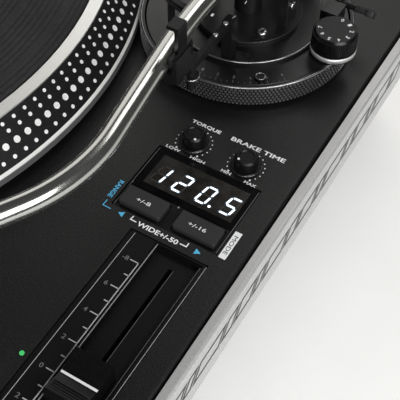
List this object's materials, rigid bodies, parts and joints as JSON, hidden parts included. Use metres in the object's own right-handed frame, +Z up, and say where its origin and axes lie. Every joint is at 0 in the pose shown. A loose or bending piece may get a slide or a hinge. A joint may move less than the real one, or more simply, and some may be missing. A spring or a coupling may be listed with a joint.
{
  "type": "turntable record player",
  "caption": "Direct-drive record player: spinning platter, S-shaped tonearm on a height ring, pitch fader, digital speed display, knobs, keys and feet.",
  "frame": {"origin": "centre of the chassis outline on the surface the feet stand on", "axes": "+X to the player's right, where the tonearm is; +Y to the back, where the sockets are; +Z up"},
  "size_m": [0.458, 0.354, 0.1476],
  "materials": {
    "black_cover": "satin black coated cast metal",
    "silver_frame": "fine blasted anodised silver",
    "black_moulding": "moulded black, fine texture",
    "zinc_steel": "black painted pressed steel",
    "screw_steel": "zinc plated steel",
    "pressed_well": "black painted pressed steel",
    "turned_brass": "turned brass",
    "circuit_board": "green glass-epoxy laminate with parts",
    "copper_coils": "enamelled copper wire",
    "platter_metal": "die-cast and diamond-cut aluminium",
    "mat_rubber": "matte black rubber",
    "spindle_steel": "ground stainless steel",
    "magnet": "sintered ferrite",
    "panel_black": "satin black moulding",
    "display_glass": "smoked glossy window",
    "display_module": "segment display module",
    "knob_black": "matte black knob",
    "fader_dark": "satin black",
    "cap_black": "matte black with a white index line",
    "key_dark": "matte dark grey key",
    "tower_black": "satin black",
    "red_lens": "red lens",
    "ring_black": "knurled, satin black",
    "arm_dark": "satin black die casting",
    "tube_dark": "dark gloss coated aluminium tube",
    "bearing_steel": "brushed steel",
    "shell_black": "black coated headshell",
    "cartridge_plastic": "moulded body",
    "stylus_plastic": "pale stylus holder",
    "weight_steel": "black coated steel",
    "dial_black": "black dial with white scale",
    "foot_rubber": "black rubber foot",
    "socket_plastic": "black moulded socket",
    "socket_metal": "plated contacts"
  },
  "bodies": {
    "plinth": {"top_cover": "black_cover", "side_frame": "silver_frame", "base_tray": "black_moulding", "bottom_plate": "zinc_steel", "bottom_screws": "screw_steel", "motor_well": "pressed_well", "bearing_housing": "turned_brass", "motor_board": "circuit_board", "stator_coils": "copper_coils", "main_board": "circuit_board", "power_supply": "circuit_board", "display_panel": "panel_black", "display_window": "display_glass", "display_module": "display_module", "fader_panel": "fader_dark", "fader_track": "socket_plastic", "arm_base": "arm_dark", "strobe_tower": "tower_black", "strobe_lens": "red_lens", "rear_panel": "zinc_steel", "phono_sockets": "socket_metal", "usb_socket": "socket_metal", "mains_inlet": "socket_plastic", "ground_terminal": "socket_metal"},
    "platter": {"platter": "platter_metal", "platter_mat": "mat_rubber", "spindle": "spindle_steel", "rotor_magnet": "magnet"},
    "height_ring": {"height_ring": "ring_black"},
    "arm_mount": {"arm_platform": "arm_dark", "gimbal_bracket": "arm_dark", "arm_rest": "arm_dark"},
    "rest_clip": {"rest_clip": "knob_black"},
    "anti_skate_dial": {"anti_skate_dial": "knob_black"},
    "cue_lever": {"cue_lever": "arm_dark"},
    "cue_lift": {"cue_lift": "arm_dark"},
    "gimbal": {"gimbal_ring": "bearing_steel"},
    "arm": {"arm_tube": "tube_dark", "headshell_collar": "bearing_steel", "headshell": "shell_black", "cartridge": "cartridge_plastic", "stylus": "stylus_plastic", "rear_shaft": "bearing_steel"},
    "weight_hub": {"weight_hub": "arm_dark"},
    "counterweight": {"counterweight": "weight_steel"},
    "weight_dial": {"weight_dial": "dial_black"},
    "torque_knob": {"torque_knob": "knob_black"},
    "brake_knob": {"brake_knob": "knob_black"},
    "range_8_button": {"range_8_button": "key_dark"},
    "range_16_button": {"range_16_button": "key_dark"},
    "fader_cap": {"fader_cap": "cap_black"},
    "start_stop_button": {"start_stop_button": "key_dark"},
    "speed_33_button": {"speed_33_button": "key_dark"},
    "speed_45_button": {"speed_45_button": "key_dark"},
    "power_switch": {"power_switch": "tower_black"},
    "target_light": {"target_light": "arm_dark"},
    "foot_front_left": {"foot_front_left": "foot_rubber"},
    "foot_front_right": {"foot_front_right": "foot_rubber"},
    "foot_rear_left": {"foot_rear_left": "foot_rubber"},
    "foot_rear_right": {"foot_rear_right": "foot_rubber"}
  },
  "joints": [
    {"name": "platter_spin", "type": "hinge", "parent": "plinth", "child": "platter", "pos_m": [-0.033, 0, 0.082], "axis": [0, 0, -1], "continuous": true},
    {"name": "height_ring_turn", "type": "hinge", "parent": "plinth", "child": "height_ring", "pos_m": [0.1637, 0.086, 0.082], "axis": [0, 0, 1], "range_deg": [0, 270]},
    {"name": "arm_mount_lift", "type": "slide", "parent": "plinth", "child": "arm_mount", "axis": [0, 0, 1], "range_m": [0, 0.006]},
    {"name": "rest_clip_swing", "type": "hinge", "parent": "arm_mount", "child": "rest_clip", "pos_m": [0.1738, 0.014, 0.1284], "axis": [0, -1, 0], "range_deg": [0, 40]},
    {"name": "anti_skate_turn", "type": "hinge", "parent": "arm_mount", "child": "anti_skate_dial", "pos_m": [0.2062, 0.084, 0.082], "axis": [0, 0, -1], "range_deg": [0, 300]},
    {"name": "cue_lever_swing", "type": "hinge", "parent": "arm_mount", "child": "cue_lever", "pos_m": [0.1977, 0.1072, 0.0984], "axis": [0, -1, 0], "range_deg": [0, 40]},
    {"name": "cue_lift_rise", "type": "slide", "parent": "arm_mount", "child": "cue_lift", "axis": [0, 0, 1], "range_m": [0, 0.005]},
    {"name": "arm_yaw", "type": "hinge", "parent": "arm_mount", "child": "gimbal", "pos_m": [0.1637, 0.086, 0.127], "axis": [0, 0, -1], "range_deg": [0, 41]},
    {"name": "arm_pitch", "type": "hinge", "parent": "gimbal", "child": "arm", "pos_m": [0.1637, 0.086, 0.127], "axis": [-0.9998, -0.0175, 0], "range_deg": [0, 8]},
    {"name": "weight_travel", "type": "slide", "parent": "arm", "child": "weight_hub", "axis": [-0.0175, 0.9998, 0], "range_m": [-0.002, 0.004]},
    {"name": "weight_spin", "type": "hinge", "parent": "weight_hub", "child": "counterweight", "pos_m": [0.1637, 0.086, 0.127], "axis": [-0.0175, 0.9998, 0], "range_deg": [-480, 960]},
    {"name": "weight_dial_spin", "type": "hinge", "parent": "weight_hub", "child": "weight_dial", "pos_m": [0.1637, 0.086, 0.127], "axis": [-0.0175, 0.9998, 0], "continuous": true},
    {"name": "torque_turn", "type": "hinge", "parent": "plinth", "child": "torque_knob", "pos_m": [0.178, 0.0164, 0.082], "axis": [0, 0, -1], "range_deg": [-280, 0]},
    {"name": "brake_turn", "type": "hinge", "parent": "plinth", "child": "brake_knob", "pos_m": [0.202, 0.0164, 0.082], "axis": [0, 0, -1], "range_deg": [0, 280]},
    {"name": "range_8_press", "type": "slide", "parent": "plinth", "child": "range_8_button", "axis": [0, 0, -1], "range_m": [0, 0.0012], "stiffness_N_per_m": 800, "springref_m": -0.0008},
    {"name": "range_16_press", "type": "slide", "parent": "plinth", "child": "range_16_button", "axis": [0, 0, -1], "range_m": [0, 0.0012], "stiffness_N_per_m": 800, "springref_m": -0.0008},
    {"name": "pitch_slide", "type": "slide", "parent": "plinth", "child": "fader_cap", "axis": [0, -1, 0], "range_m": [-0.0509, 0.0509]},
    {"name": "start_stop_press", "type": "slide", "parent": "plinth", "child": "start_stop_button", "axis": [0, 0, -1], "range_m": [0, 0.0015], "stiffness_N_per_m": 1200, "springref_m": -0.0008},
    {"name": "speed_33_press", "type": "slide", "parent": "plinth", "child": "speed_33_button", "axis": [0, 0, -1], "range_m": [0, 0.0012], "stiffness_N_per_m": 800, "springref_m": -0.0008},
    {"name": "speed_45_press", "type": "slide", "parent": "plinth", "child": "speed_45_button", "axis": [0, 0, -1], "range_m": [0, 0.0012], "stiffness_N_per_m": 800, "springref_m": -0.0008},
    {"name": "power_turn", "type": "hinge", "parent": "plinth", "child": "power_switch", "pos_m": [-0.163, -0.13, 0.082], "axis": [0, 0, -1], "range_deg": [0, 40]},
    {"name": "target_light_rise", "type": "slide", "parent": "plinth", "child": "target_light", "axis": [0, 0, 1], "range_m": [0, 0.022]},
    {"name": "foot_front_left_adjust", "type": "slide", "parent": "plinth", "child": "foot_front_left", "axis": [0, 0, -1], "range_m": [0, 0.004]},
    {"name": "foot_front_right_adjust", "type": "slide", "parent": "plinth", "child": "foot_front_right", "axis": [0, 0, -1], "range_m": [0, 0.004]},
    {"name": "foot_rear_left_adjust", "type": "slide", "parent": "plinth", "child": "foot_rear_left", "axis": [0, 0, -1], "range_m": [0, 0.004]},
    {"name": "foot_rear_right_adjust", "type": "slide", "parent": "plinth", "child": "foot_rear_right", "axis": [0, 0, -1], "range_m": [0, 0.004]}
  ],
  "couplings": [
    {"joint": "arm_mount_lift", "follows": "height_ring_turn", "m_per_rad": 0.001273},
    {"joint": "cue_lift_rise", "follows": "cue_lever_swing", "m_per_rad": 0.00716},
    {"joint": "weight_travel", "follows": "weight_spin", "m_per_rad": 0.0002387}
  ]
}
